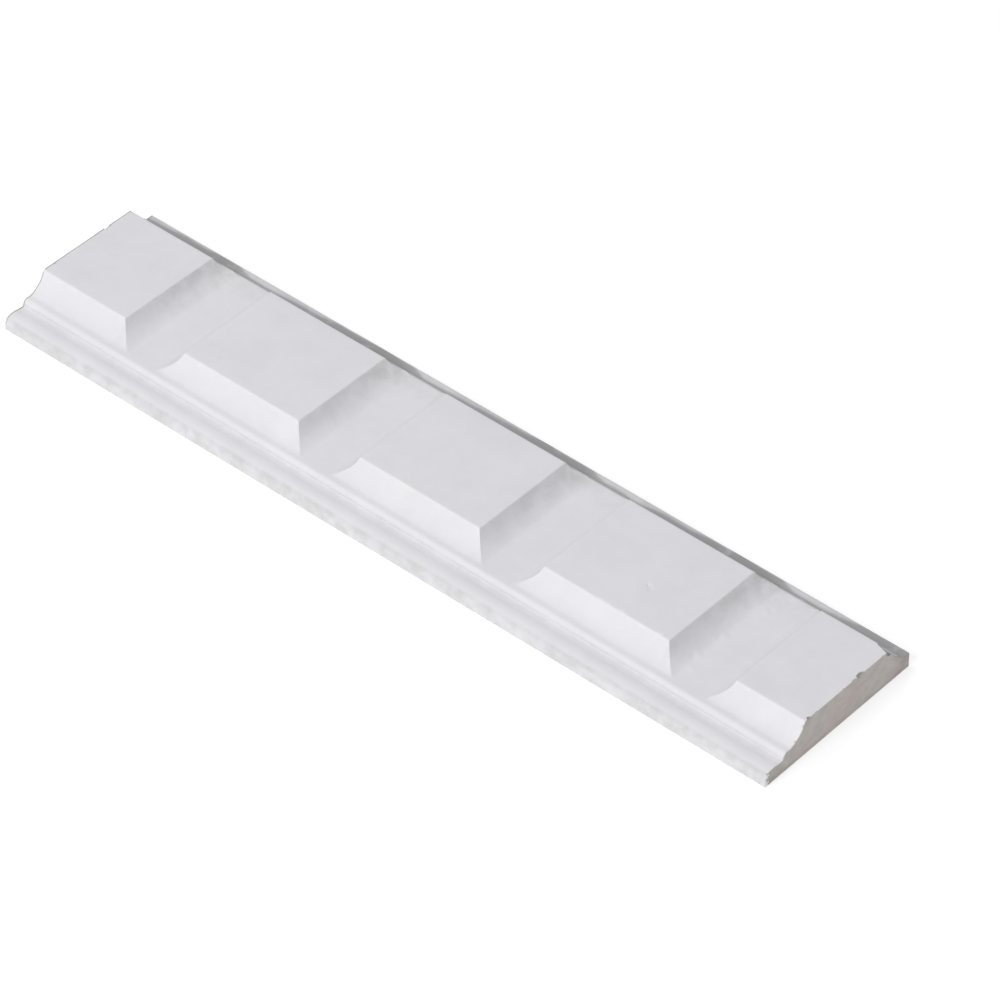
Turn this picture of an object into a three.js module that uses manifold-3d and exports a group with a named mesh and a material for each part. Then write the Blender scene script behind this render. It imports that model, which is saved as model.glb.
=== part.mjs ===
// A length of chair rail moulding, lying on its flat wall face.
//
// The rail is one strip with two layers. The base layer has a round-nosed lower edge,
// a shallow groove and a bead at the front, and a narrow ledge at the back. On it stands
// a row of flat-topped tablets, like wide dentils, whose four sides are the same cove.
// Both ends are sawn square, and the right-hand cut runs through the last tablet.
//
// Millimetres. X runs along the rail, Y from the nosed edge (-) to the ledge (+), and
// Z outwards from the wall face. The origin is at the middle of the wall face.

import * as THREE from 'three';
import { mergeVertices } from 'three/addons/utils/BufferGeometryUtils.js';
import Module from 'manifold-3d';

// overall size
const LENGTH = 292.1;
const WIDTH = 63.5;
const THICKNESS = 12.7;

// tablets and the channels between them
const PITCH = 69.85;          // from one channel to the next
const CHANNEL_TOP = 24.0;     // gap between the tablets' top edges
const LAST_TABLET = 24.4;     // what the right-hand cut leaves of the last tablet's top
const CHANNEL_COUNT = 4;
const TABLET_TOP_WIDTH = 37.4;
const TABLET_RISE = 6.15;     // tablet top above the base layer
const COVE_RUN = 5.95;        // how far a cove spreads from the top edge to its foot
const COVE_SAG = 1.06;        // how hollow the cove is, across its chord
const EDGE_ROUND = 0.45;      // softened top edges of the tablets

// front edge of the base layer
const NOSE_TO_TABLET = 17.0;  // nose to the tablets' top edge
const NOSE_FACE = 3.0;        // upright front face of the nose
const NOSE_RUN = 3.9;         // nose to the crest behind it
const NOSE_CREST = 4.75;
const GROOVE_LEVEL = 4.45;    // height of the groove's bottom above the wall
const BEAD_FOOT = 7.9;        // nose to the foot of the bead
const BEAD_ROUND = 1.75;

// back edge of the base layer
const COVE_STOP = 4.3;        // tablets' top edge to where the cove ends at the back
const ROLL_START = 58.35;     // nose to the middle of the round that falls to the ledge
const ROLL_RUN = 2.1;
const LEDGE_HEIGHT = 5.4;

// broken corner at the back of the right-hand cut
const CHIP_LENGTH = 5.2;      // along the rail
const CHIP_WIDTH = 1.6;       // into the tablet's top, at the cut
const CHIP_DEPTH = 2.4;

// facets
const COVE_STEPS = 9;
const ROUND_STEPS = 5;
const EDGE_STEPS = 3;

// how far a cutter stands clear of what it cuts, and how close points are joined
const CLEARANCE = 3;
const JOIN_WITHIN = 1e-4;

const BASE_TOP = THICKNESS - TABLET_RISE;
const QUARTER = Math.PI / 2;

// The cove is one arc. Its centre and radius follow from its chord and its hollow.
const coveChord = Math.hypot(COVE_RUN, TABLET_RISE);
const COVE_RADIUS = coveChord ** 2 / (8 * COVE_SAG) + COVE_SAG / 2;
const coveReach = (COVE_RADIUS - COVE_SAG) / coveChord;
const COVE_CENTRE = {
  run: COVE_RUN / 2 + coveReach * TABLET_RISE,
  rise: TABLET_RISE / 2 + coveReach * COVE_RUN,
};

/** Angle, seen from the cove's centre, of the point on it at this run. */
function coveAngle(run) {
  return -Math.acos((run - COVE_CENTRE.run) / COVE_RADIUS);
}

/** Points [run, height above the base layer] down the cove, from one run to another. */
function covePoints(fromRun, toRun) {
  const start = coveAngle(fromRun);
  const end = coveAngle(toRun);
  const points = [];
  for (let i = 0; i <= COVE_STEPS; i += 1) {
    const angle = start + ((end - start) * i) / COVE_STEPS;
    points.push([
      COVE_CENTRE.run + COVE_RADIUS * Math.cos(angle),
      COVE_CENTRE.rise + COVE_RADIUS * Math.sin(angle),
    ]);
  }
  return points;
}

/** Softened top edge: an arc from the flat top to the cove, as [run, height] points. */
function edgePoints() {
  const [run, height] = covePoints(0, COVE_RUN).find((point) => point[0] > EDGE_ROUND / 2);
  const corner = new THREE.Vector2(0, TABLET_RISE);
  const flat = new THREE.Vector2(-EDGE_ROUND, TABLET_RISE);
  const curve = new THREE.QuadraticBezierCurve(flat, corner, new THREE.Vector2(run, height));
  return curve.getPoints(EDGE_STEPS).map((point) => [point.x, point.y]);
}

/** Top edge and cove together, from the flat top down to the given run. */
function tabletSide(lastRun) {
  const edge = edgePoints();
  const firstRun = edge[edge.length - 1][0];
  return [...edge, ...covePoints(firstRun, lastRun).slice(1)];
}

/** A quarter of an ellipse between two angles, as [y, z] points. */
function ellipsePoints(centreY, centreZ, radiusY, radiusZ, start, end) {
  const points = [];
  for (let i = 0; i <= ROUND_STEPS; i += 1) {
    const angle = start + ((end - start) * i) / ROUND_STEPS;
    points.push([centreY + radiusY * Math.cos(angle), centreZ + radiusZ * Math.sin(angle)]);
  }
  return points;
}

/** Closed shape from [x, y] points. */
function shapeOf(points) {
  return new THREE.Shape(points.map(([x, y]) => new THREE.Vector2(x, y)));
}

/** The rail's section across its width, with Y from the nose and Z from the wall. */
function railSection() {
  const tabletFront = NOSE_TO_TABLET;
  const tabletBack = NOSE_TO_TABLET + TABLET_TOP_WIDTH;
  const back = tabletSide(COVE_STOP).map(([run, height]) => [tabletBack + run, BASE_TOP + height]);
  const front = tabletSide(COVE_RUN).map(([run, height]) => [tabletFront - run, BASE_TOP + height]);
  const bead = ellipsePoints(
    BEAD_FOOT + BEAD_ROUND, BASE_TOP - BEAD_ROUND, BEAD_ROUND, BEAD_ROUND, QUARTER, 2 * QUARTER,
  );
  const nose = ellipsePoints(
    NOSE_RUN, NOSE_FACE, NOSE_RUN, NOSE_CREST - NOSE_FACE, QUARTER, 2 * QUARTER,
  );
  const roll = ellipsePoints(
    ROLL_START, LEDGE_HEIGHT, ROLL_RUN, BASE_TOP - LEDGE_HEIGHT, 0, QUARTER,
  ).filter(([y]) => y > tabletBack + COVE_STOP);
  return shapeOf([
    [0, 0],
    [WIDTH, 0],
    [WIDTH, LEDGE_HEIGHT],
    ...roll,
    ...back.reverse(),
    ...front,
    ...bead,
    [BEAD_FOOT, GROOVE_LEVEL],
    [(BEAD_FOOT + NOSE_RUN) / 2, GROOVE_LEVEL],
    ...nose,
  ]);
}

/** The section of one channel, with X from its middle and Z from the wall. */
function channelSection() {
  const above = THICKNESS + CLEARANCE;
  const halfTop = CHANNEL_TOP / 2;
  const side = tabletSide(COVE_RUN).map(([run, height]) => [halfTop - run, BASE_TOP + height]);
  const mirrored = side.map(([x, z]) => [-x, z]);
  return shapeOf([
    [halfTop + EDGE_ROUND, above],
    [-halfTop - EDGE_ROUND, above],
    ...mirrored,
    ...side.reverse(),
  ]);
}

/** Shape in the upright plane, extruded by this depth along X or Y. */
function extrudeAlong(shape, depth, axis) {
  const geometry = new THREE.ExtrudeGeometry(shape, { depth, bevelEnabled: false, steps: 1 });
  geometry.rotateX(QUARTER);
  if (axis === 'x') {
    geometry.translate(0, depth, 0);
    geometry.rotateZ(QUARTER);
    geometry.translate(depth, 0, 0);
  }
  return geometry;
}

/** Solid for joining and cutting, from a closed geometry. */
function solidOf(wasm, geometry) {
  const bare = geometry.clone();
  bare.deleteAttribute('normal');
  bare.deleteAttribute('uv');
  const merged = mergeVertices(bare, JOIN_WITHIN);
  return new wasm.Manifold(new wasm.Mesh({
    numProp: 3,
    vertProperties: new Float32Array(merged.attributes.position.array),
    triVerts: new Uint32Array(merged.index.array),
  }));
}

/** Flat-shaded geometry from a finished solid. */
function geometryOf(solid) {
  const mesh = solid.getMesh();
  const geometry = new THREE.BufferGeometry();
  geometry.setAttribute('position', new THREE.BufferAttribute(mesh.vertProperties, 3));
  geometry.setIndex(new THREE.BufferAttribute(mesh.triVerts, 1));
  const flat = geometry.toNonIndexed();
  flat.computeVertexNormals();
  return flat;
}

/** The strip before its channels are cut, in the part's own frame. */
function railBlank() {
  const blank = extrudeAlong(railSection(), LENGTH, 'x');
  blank.translate(-LENGTH / 2, -WIDTH / 2, 0);
  return blank;
}

/** Cutter for channel number `index`, counted from the right-hand cut. */
function channelCutter(index) {
  const cutter = extrudeAlong(channelSection(), 2 * WIDTH, 'y');
  const middle = LENGTH / 2 - LAST_TABLET - CHANNEL_TOP / 2 - index * PITCH;
  cutter.translate(middle, WIDTH, 0);
  return cutter;
}

/** Wedge that takes the broken corner off the last tablet. */
function cornerChip() {
  const tabletBack = NOSE_TO_TABLET + TABLET_TOP_WIDTH - WIDTH / 2;
  const wedge = shapeOf([
    [-CHIP_LENGTH, 0],
    [0, -CHIP_WIDTH],
    [CLEARANCE, -CHIP_WIDTH],
    [CLEARANCE, COVE_RUN],
    [-CHIP_LENGTH, COVE_RUN],
  ]);
  const depth = CHIP_DEPTH + CLEARANCE;
  const geometry = new THREE.ExtrudeGeometry(wedge, { depth, bevelEnabled: false });
  geometry.translate(LENGTH / 2, tabletBack, THICKNESS - CHIP_DEPTH);
  return geometry;
}

const wasm = await Module();
wasm.setup();

let rail = solidOf(wasm, railBlank());
for (let index = 0; index < CHANNEL_COUNT; index += 1) {
  rail = rail.subtract(solidOf(wasm, channelCutter(index)));
}
rail = rail.subtract(solidOf(wasm, cornerChip()));

const painted = new THREE.MeshStandardMaterial({ color: 0xe9e8ec, roughness: 0.55, metalness: 0 });
const railMesh = new THREE.Mesh(geometryOf(rail), painted);
railMesh.name = 'chair_rail';

const part = new THREE.Group();
part.add(railMesh);

export default part;
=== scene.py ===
"""Looks of a length of painted chair rail moulding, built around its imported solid.

The rail is modelled as it is made. Its section is drawn and run along X, the tablets are
raised on it with a cove on every side, both ends are sawn, and then come the small chips,
pits and nibs of a rail that has been handled. Metres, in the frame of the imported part:
X along the rail, Y from the nosed edge (-) to the ledge (+), Z outwards from the wall face.
"""

from __future__ import annotations

import logging
import math
from dataclasses import dataclass, field
from enum import Enum

import bpy
import numpy as np
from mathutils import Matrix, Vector, noise

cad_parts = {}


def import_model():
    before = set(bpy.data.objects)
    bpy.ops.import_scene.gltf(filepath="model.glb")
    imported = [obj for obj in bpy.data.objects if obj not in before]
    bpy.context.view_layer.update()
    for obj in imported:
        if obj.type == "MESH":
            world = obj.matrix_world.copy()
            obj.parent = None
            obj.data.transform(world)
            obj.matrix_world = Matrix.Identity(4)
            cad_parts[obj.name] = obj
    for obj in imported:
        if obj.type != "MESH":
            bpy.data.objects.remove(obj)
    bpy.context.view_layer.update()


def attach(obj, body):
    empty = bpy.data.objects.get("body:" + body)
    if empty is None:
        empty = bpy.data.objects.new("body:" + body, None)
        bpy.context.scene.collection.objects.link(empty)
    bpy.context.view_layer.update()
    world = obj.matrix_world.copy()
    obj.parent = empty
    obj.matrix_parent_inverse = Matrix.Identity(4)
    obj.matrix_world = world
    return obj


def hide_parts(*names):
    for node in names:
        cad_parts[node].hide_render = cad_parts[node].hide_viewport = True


MM = 0.001
TOUCH = 1e-6  # metres within which two places count as one

log = logging.getLogger("chair_rail")


class Finish(Enum):
    """The finishes of the rail, in the order of its material slots."""

    PAINTED_FACE = 0
    SAWN_CORE = 1
    WALL_FACE = 2
    CHIPPED_CORE = 3


@dataclass(frozen=True)
class RailSizes:
    """Sizes of the rail in millimetres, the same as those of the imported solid.

    Args:
        length: Sawn length.
        width: From the nose to the back edge.
        thickness: From the wall face to the tablets' tops.
        tablet_front: The tablets' front top edge, from the nose.
        tablet_back: The tablets' back top edge, from the nose.
        tablet_rise: Height of the tablets above the base layer.
        cove_run: How far a cove spreads from the top edge to its foot.
        cove_sag: How hollow the cove is, across its chord.
        edge_round: Softening of the tablets' top edges.
        cove_stop: Where the cove ends at the back, from the nose.
        roll_start: Middle of the round that falls to the ledge, from the nose.
        roll_run: How far that round reaches towards the back.
        ledge: Height of the ledge above the wall face.
        pitch: From one channel to the next.
        channel_top: Gap between two tablets' top edges.
        last_tablet: What the right-hand cut leaves of the last tablet's top.
        channels: How many channels the length has.
    """

    length: float = 292.1
    width: float = 63.5
    thickness: float = 12.7
    tablet_front: float = 17.0
    tablet_back: float = 54.4
    tablet_rise: float = 6.15
    cove_run: float = 5.95
    cove_sag: float = 1.06
    edge_round: float = 0.45
    cove_stop: float = 58.7
    roll_start: float = 58.35
    roll_run: float = 2.1
    ledge: float = 5.4
    pitch: float = 69.85
    channel_top: float = 24.0
    last_tablet: float = 24.4
    channels: int = 4

    @property
    def base_top(self) -> float:
        """Height of the base layer's top above the wall face."""
        return self.thickness - self.tablet_rise

    def channel_middle(self, index: int) -> float:
        """Middle of a channel in X.

        Args:
            index: The channel's number, counted from the right-hand cut.

        Returns:
            Its place in the part's frame, in millimetres.
        """
        first = self.length / 2 - self.last_tablet - self.channel_top / 2
        return first - index * self.pitch

    def tablet_tops(self) -> list[tuple[float, float]]:
        """Tops of the tablets in X.

        Returns:
            From left to right, where each top starts and ends, in millimetres.
        """
        edges = [-self.length / 2]
        for index in reversed(range(self.channels)):
            middle = self.channel_middle(index)
            edges += [middle - self.channel_top / 2, middle + self.channel_top / 2]
        edges.append(self.length / 2)
        return list(zip(edges[0::2], edges[1::2]))

    def cove_height(self, run: float) -> float:
        """Height of the cove above the base layer.

        Args:
            run: Distance outwards from the tablet's top edge.

        Returns:
            The height, in millimetres.
        """
        chord = math.hypot(self.cove_run, self.tablet_rise)
        radius = chord**2 / (8 * self.cove_sag) + self.cove_sag / 2
        reach = (radius - self.cove_sag) / chord
        centre_run = self.cove_run / 2 + reach * self.tablet_rise
        centre_rise = self.tablet_rise / 2 + reach * self.cove_run
        return centre_rise - math.sqrt(radius**2 - (run - centre_run) ** 2)


def deselect_everything() -> None:
    """Leaves no object selected or active, so that the next operator meets only its own."""
    for thing in bpy.context.selected_objects:
        thing.select_set(False)
    bpy.context.view_layer.objects.active = None


def make_active(thing: bpy.types.Object) -> None:
    """Selects one object alone and makes it the active one.

    Args:
        thing: The object that the next operator works on.
    """
    deselect_everything()
    thing.select_set(True)
    bpy.context.view_layer.objects.active = thing


def vertex_places(thing: bpy.types.Object) -> np.ndarray:
    """Places of an object's vertices.

    Args:
        thing: A mesh object in object mode.

    Returns:
        One row of x, y and z for each vertex, in metres.
    """
    places = np.empty(len(thing.data.vertices) * 3)
    thing.data.vertices.foreach_get("co", places)
    return places.reshape(-1, 3)


def face_values(thing: bpy.types.Object, name: str) -> np.ndarray:
    """Reads a vector of each face.

    Args:
        thing: A mesh object in object mode.
        name: "center" or "normal".

    Returns:
        One row for each face.
    """
    values = np.empty(len(thing.data.polygons) * 3)
    thing.data.polygons.foreach_get(name, values)
    return values.reshape(-1, 3)


def ramp(values: np.ndarray, start: float, end: float) -> np.ndarray:
    """Rises from 0 to 1 between two values, of which the end may be the lower.

    Args:
        values: The values.
        start: Where the ramp is 0.
        end: Where it is 1.

    Returns:
        The ramp at each value.
    """
    return np.clip((values - start) / (end - start), 0.0, 1.0)


def mound(values: np.ndarray, spread: float) -> np.ndarray:
    """Falls softly on both sides of zero, from 1 to almost nothing at twice the spread."""
    return np.exp(-((values / spread) ** 2))


class Bench:
    """Edit-mode work on one mesh: what is selected, and the operators used on it."""

    def __init__(self, thing: bpy.types.Object) -> None:
        """Takes the object that is worked on.

        Args:
            thing: A mesh object.
        """
        self.thing = thing
        make_active(thing)

    def select(self, kind: str, wanted: np.ndarray) -> None:
        """Selects vertices, edges or faces in code and enters edit mode.

        Args:
            kind: "VERT", "EDGE" or "FACE".
            wanted: True for each element that is to be selected.
        """
        bpy.ops.object.mode_set(mode="EDIT")
        bpy.ops.mesh.select_mode(type=kind)
        bpy.ops.mesh.select_all(action="DESELECT")
        bpy.ops.object.mode_set(mode="OBJECT")
        mesh = self.thing.data
        elements = {"VERT": mesh.vertices, "EDGE": mesh.edges, "FACE": mesh.polygons}[kind]
        elements.foreach_set("select", np.asarray(wanted, bool))
        bpy.ops.object.mode_set(mode="EDIT")

    def done(self) -> None:
        """Leaves edit mode."""
        bpy.ops.object.mode_set(mode="OBJECT")

    def extrude(self, move: tuple[float, float, float]) -> None:
        """Extrudes the selection as one region.

        Args:
            move: How far the new end moves, in metres.
        """
        bpy.ops.mesh.extrude_region_move(TRANSFORM_OT_translate={"value": move})

    def edge_ends(self) -> tuple[np.ndarray, np.ndarray]:
        """Both end points of every edge.

        Returns:
            The places of the first and of the second ends, in metres.
        """
        mesh = self.thing.data
        ends = np.empty(len(mesh.edges) * 2, int)
        mesh.edges.foreach_get("vertices", ends)
        places = vertex_places(self.thing)[ends.reshape(-1, 2)]
        return places[:, 0], places[:, 1]

    def split_along(self, start: float, end: float, parts: int) -> None:
        """Divides the edges that run along X, so that their faces become strips.

        Args:
            start: Lower end in X of the stretch that is divided, in metres.
            end: Upper end of the stretch.
            parts: How many equal parts each edge gets.
        """
        first, second = self.edge_ends()
        reach = np.abs(second - first)
        middle = (first[:, 0] + second[:, 0]) / 2
        straight = (reach[:, 0] > TOUCH) & (reach[:, 1:].max(axis=1) < TOUCH / 10)
        self.select("EDGE", straight & (middle > start) & (middle < end))
        bpy.ops.mesh.subdivide(number_cuts=parts - 1, quadcorner="INNERVERT")
        self.done()


@dataclass
class RailSection:
    """The section of the base layer, drawn point by point and run along the rail.

    Args:
        sizes: Sizes of the rail.
        nose_face: Height of the nose's upright front face.
        nose_run: From the nose to the crest behind it.
        nose_crest: Height of that crest.
        groove: Height of the groove's bottom.
        groove_start: Where the groove's flat bottom starts, from the nose.
        bead_foot: From the nose to the foot of the bead.
        bead_round: Radius of the bead.
        nose_foot_round: Rounding under the nose.
        ledge_round: Rounding of the ledge's outer edge.
        ledge_cells: Cells across the ledge.
        dip_steps: Steps from the nose's crest to the groove.
        bead_angle: Where the bead's arc starts, in degrees.
        roll_angle: Where the arc of the round above the ledge starts.
    """

    sizes: RailSizes
    nose_face: float = 3.0
    nose_run: float = 3.9
    nose_crest: float = 4.75
    groove: float = 4.45
    groove_start: float = 6.3
    bead_foot: float = 7.9
    bead_round: float = 1.75
    nose_foot_round: float = 0.35
    ledge_round: float = 0.5
    ledge_cells: int = 5
    dip_steps: int = 6
    bead_angle: float = 172.0
    roll_angle: float = 74.0

    def outline(self) -> list[tuple[float, float]]:
        """Draws the section.

        Returns:
            Points from the foot of the nose over the top to the back foot. Each is the
            distance from the nose and the height above the wall face, in millimetres.
        """
        s = self.sizes
        r = self.nose_foot_round
        points = [(r, 0.0), (r * 0.3, r * 0.3), (0.0, r)]
        points += [(0.0, self.nose_face * part) for part in (0.4, 0.7)]
        points += self._arc(self.nose_run, self.nose_face, self.nose_run,
                            self.nose_crest - self.nose_face, 180.0, 90.0, 9)
        points += self._dip()
        points += [(self.bead_foot, s.base_top - self.bead_round + 0.02)]
        points += self._arc(self.bead_foot + self.bead_round, s.base_top - self.bead_round,
                            self.bead_round, self.bead_round, self.bead_angle, 90.0, 8)
        foot = s.tablet_front - s.cove_run
        points += [(foot - 0.7, s.base_top), (foot, s.base_top), (s.cove_stop, s.base_top)]
        points += self._arc(s.roll_start, s.ledge, s.roll_run, s.base_top - s.ledge,
                            self.roll_angle, 0.0, 8)
        foot = s.roll_start + s.roll_run
        reach = s.width - self.ledge_round - foot
        points += [(foot + reach * i / self.ledge_cells, s.ledge)
                   for i in range(1, self.ledge_cells)]
        points += self._arc(s.width - self.ledge_round, s.ledge - self.ledge_round,
                            self.ledge_round, self.ledge_round, 90.0, 0.0, 4)
        return points + [(s.width, s.ledge * 0.45), (s.width, 0.0)]

    def _dip(self) -> list[tuple[float, float]]:
        """Draws the hollow from the nose's crest to the foot of the bead.

        Returns:
            Its points, as in the outline.
        """
        fall = self.nose_crest - self.groove
        reach = self.groove_start - self.nose_run
        points = []
        for i in range(1, self.dip_steps + 1):
            part = i / self.dip_steps
            ease = part * part * (3 - 2 * part)
            points.append((self.nose_run + reach * part, self.nose_crest - fall * ease))
        middle = (self.groove_start + self.bead_foot) / 2
        return points + [(middle, self.groove), (self.bead_foot - 0.25, self.groove + 0.01),
                         (self.bead_foot, self.groove + 0.12)]

    @staticmethod
    def _arc(y: float, z: float, radius_y: float, radius_z: float,
             start: float, end: float, steps: int) -> list[tuple[float, float]]:
        """Points on a stretch of an ellipse.

        Args:
            y: Centre, from the nose.
            z: Centre, from the wall face.
            radius_y: Radius along Y.
            radius_z: Radius along Z.
            start: First angle, in degrees.
            end: Last angle.
            steps: How many steps there are between them.

        Returns:
            The points, ends included.
        """
        angles = [math.radians(start + (end - start) * i / steps) for i in range(steps + 1)]
        return [(y + radius_y * math.cos(a), z + radius_z * math.sin(a)) for a in angles]

    def stations(self) -> list[float]:
        """Finds where the run along X is divided.

        Returns:
            The two ends and the feet of every channel in X, from left to right.
        """
        s = self.sizes
        places = [-s.length / 2, s.length / 2]
        floor = s.channel_top / 2 - s.cove_run
        for index in range(s.channels):
            places += [s.channel_middle(index) - floor, s.channel_middle(index) + floor]
        return sorted(places)

    def run(self) -> bpy.types.Object:
        """Runs the section along the rail and closes its ends.

        Returns:
            The strip, with one long face for each stretch of the section.
        """
        s = self.sizes
        outline = [(y - s.width / 2, z) for y, z in self.outline()]
        deselect_everything()
        bpy.ops.mesh.primitive_plane_add(size=MM, location=(0.0, 0.0, 0.0))
        strip = bpy.context.object
        strip.name = strip.data.name = "rail_face"
        bench = Bench(strip)
        bench.select("VERT", np.ones(4, bool))
        bpy.ops.mesh.merge(type="CENTER")
        start = (-s.length / 2 * MM, outline[0][0] * MM, outline[0][1] * MM)
        bpy.ops.transform.translate(value=start)
        for before, after in zip(outline, outline[1:]):
            step = (0.0, (after[0] - before[0]) * MM, (after[1] - before[1]) * MM)
            bench.extrude(step)
        bench.done()
        bench.select("VERT", np.isin(np.arange(len(outline)), [0, len(outline) - 1]))
        bpy.ops.mesh.edge_face_add()
        bpy.ops.mesh.select_all(action="SELECT")
        bpy.ops.mesh.select_mode(type="EDGE")
        stations = self.stations()
        for before, after in zip(stations, stations[1:]):
            bench.extrude(((after - before) * MM, 0.0, 0.0))
        bench.done()
        for side in (-1, 1):
            first, second = bench.edge_ends()
            at_end = np.minimum(first[:, 0] * side, second[:, 0] * side) > s.length / 2 * MM - TOUCH
            bench.select("EDGE", at_end)
            bpy.ops.mesh.edge_face_add()
            bench.done()
        bench.select("FACE", np.ones(len(strip.data.polygons), bool))
        bpy.ops.mesh.normals_make_consistent(inside=False)
        bench.done()
        return strip


@dataclass
class TabletRow:
    """The raised tablets, drawn up from the strip's top in rings.

    Args:
        sizes: Sizes of the rail.
        cove_rings: Rings in the height of a cove.
        edge_rings: Rings in a softened top edge.
        edge_start: Where that edge starts, as a share of its softening.
        crowding: How much the rings crowd towards the top; 1 is not at all.
    """

    sizes: RailSizes
    cove_rings: int = 11
    edge_rings: int = 5
    edge_start: float = 0.3
    crowding: float = 1.25

    def rings(self) -> list[tuple[float, float]]:
        """The side of a tablet from its foot to its flat top.

        Returns:
            For each ring the distance outwards from the top edge, and the height above the
            base layer, in millimetres.
        """
        s = self.sizes
        last_run = s.edge_round * self.edge_start
        rings = []
        for i in range(1, self.cove_rings + 1):
            part = i / self.cove_rings
            run = s.cove_run + (last_run - s.cove_run) * (1 - (1 - part) ** self.crowding)
            rings.append((run, s.cove_height(run)))
        low = Vector((last_run, s.cove_height(last_run)))
        corner = Vector((0.02, s.tablet_rise))
        flat = Vector((-s.edge_round, s.tablet_rise))
        for i in range(1, self.edge_rings + 1):
            t = i / self.edge_rings
            point = low * (1 - t) ** 2 + corner * 2 * t * (1 - t) + flat * t * t
            rings.append((point.x, point.y))
        return rings

    def raise_on(self, strip: bpy.types.Object) -> None:
        """Raises every tablet on the strip.

        Args:
            strip: The strip that the section was run along.
        """
        s = self.sizes
        half = s.length / 2
        front = s.tablet_front - s.width / 2
        back = s.tablet_back - s.width / 2
        step = s.cove_stop - s.width / 2
        bench = Bench(strip)
        for left, right in s.tablet_tops():
            def bounds(run: float) -> tuple[float, float, float, float]:
                """Finds the sides of a ring.

                Args:
                    run: Its distance outwards from the top edge.

                Returns:
                    Its ends in X and in Y.
                """
                x0 = left if left == -half else left - run
                x1 = right if right == half else right + run
                return x0, x1, front - run, min(back + run, step)

            old = bounds(s.cove_run)
            height = s.base_top
            bench.select("FACE", self._top_face(strip, old, height))
            for run, rise in self.rings():
                new = bounds(run)
                bench.extrude((0.0, 0.0, (s.base_top + rise - height) * MM))
                height = s.base_top + rise
                self._fit(old, new, height)
                old = new
            bench.done()

    def _top_face(self, strip: bpy.types.Object, bounds: tuple[float, float, float, float],
                  height: float) -> np.ndarray:
        """Finds the face of the strip that a tablet stands on.

        Args:
            strip: The strip.
            bounds: The tablet's foot, as the ends in X and in Y.
            height: Height of the face.

        Returns:
            True for that face alone.
        """
        x0, x1, y0, y1 = (value * MM for value in bounds)
        middle = np.array([(x0 + x1) / 2, (y0 + y1) / 2, height * MM])
        return np.linalg.norm(face_values(strip, "center") - middle, axis=1) < 0.1 * MM

    def _fit(self, old: tuple[float, ...], new: tuple[float, ...], height: float) -> None:
        """Scales and moves the selected top from one ring's rectangle to the next.

        Args:
            old: The rectangle it has, as the ends in X and in Y.
            new: The rectangle it gets.
            height: Its height above the wall face.
        """
        centre = ((old[0] + old[1]) / 2, (old[2] + old[3]) / 2)
        target = ((new[0] + new[1]) / 2, (new[2] + new[3]) / 2)
        ratio = ((new[1] - new[0]) / (old[1] - old[0]), (new[3] - new[2]) / (old[3] - old[2]))
        bpy.ops.transform.resize(
            value=(ratio[0], ratio[1], 1.0),
            center_override=(centre[0] * MM, centre[1] * MM, height * MM))
        bpy.ops.transform.translate(
            value=((target[0] - centre[0]) * MM, (target[1] - centre[1]) * MM, 0.0))


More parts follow.
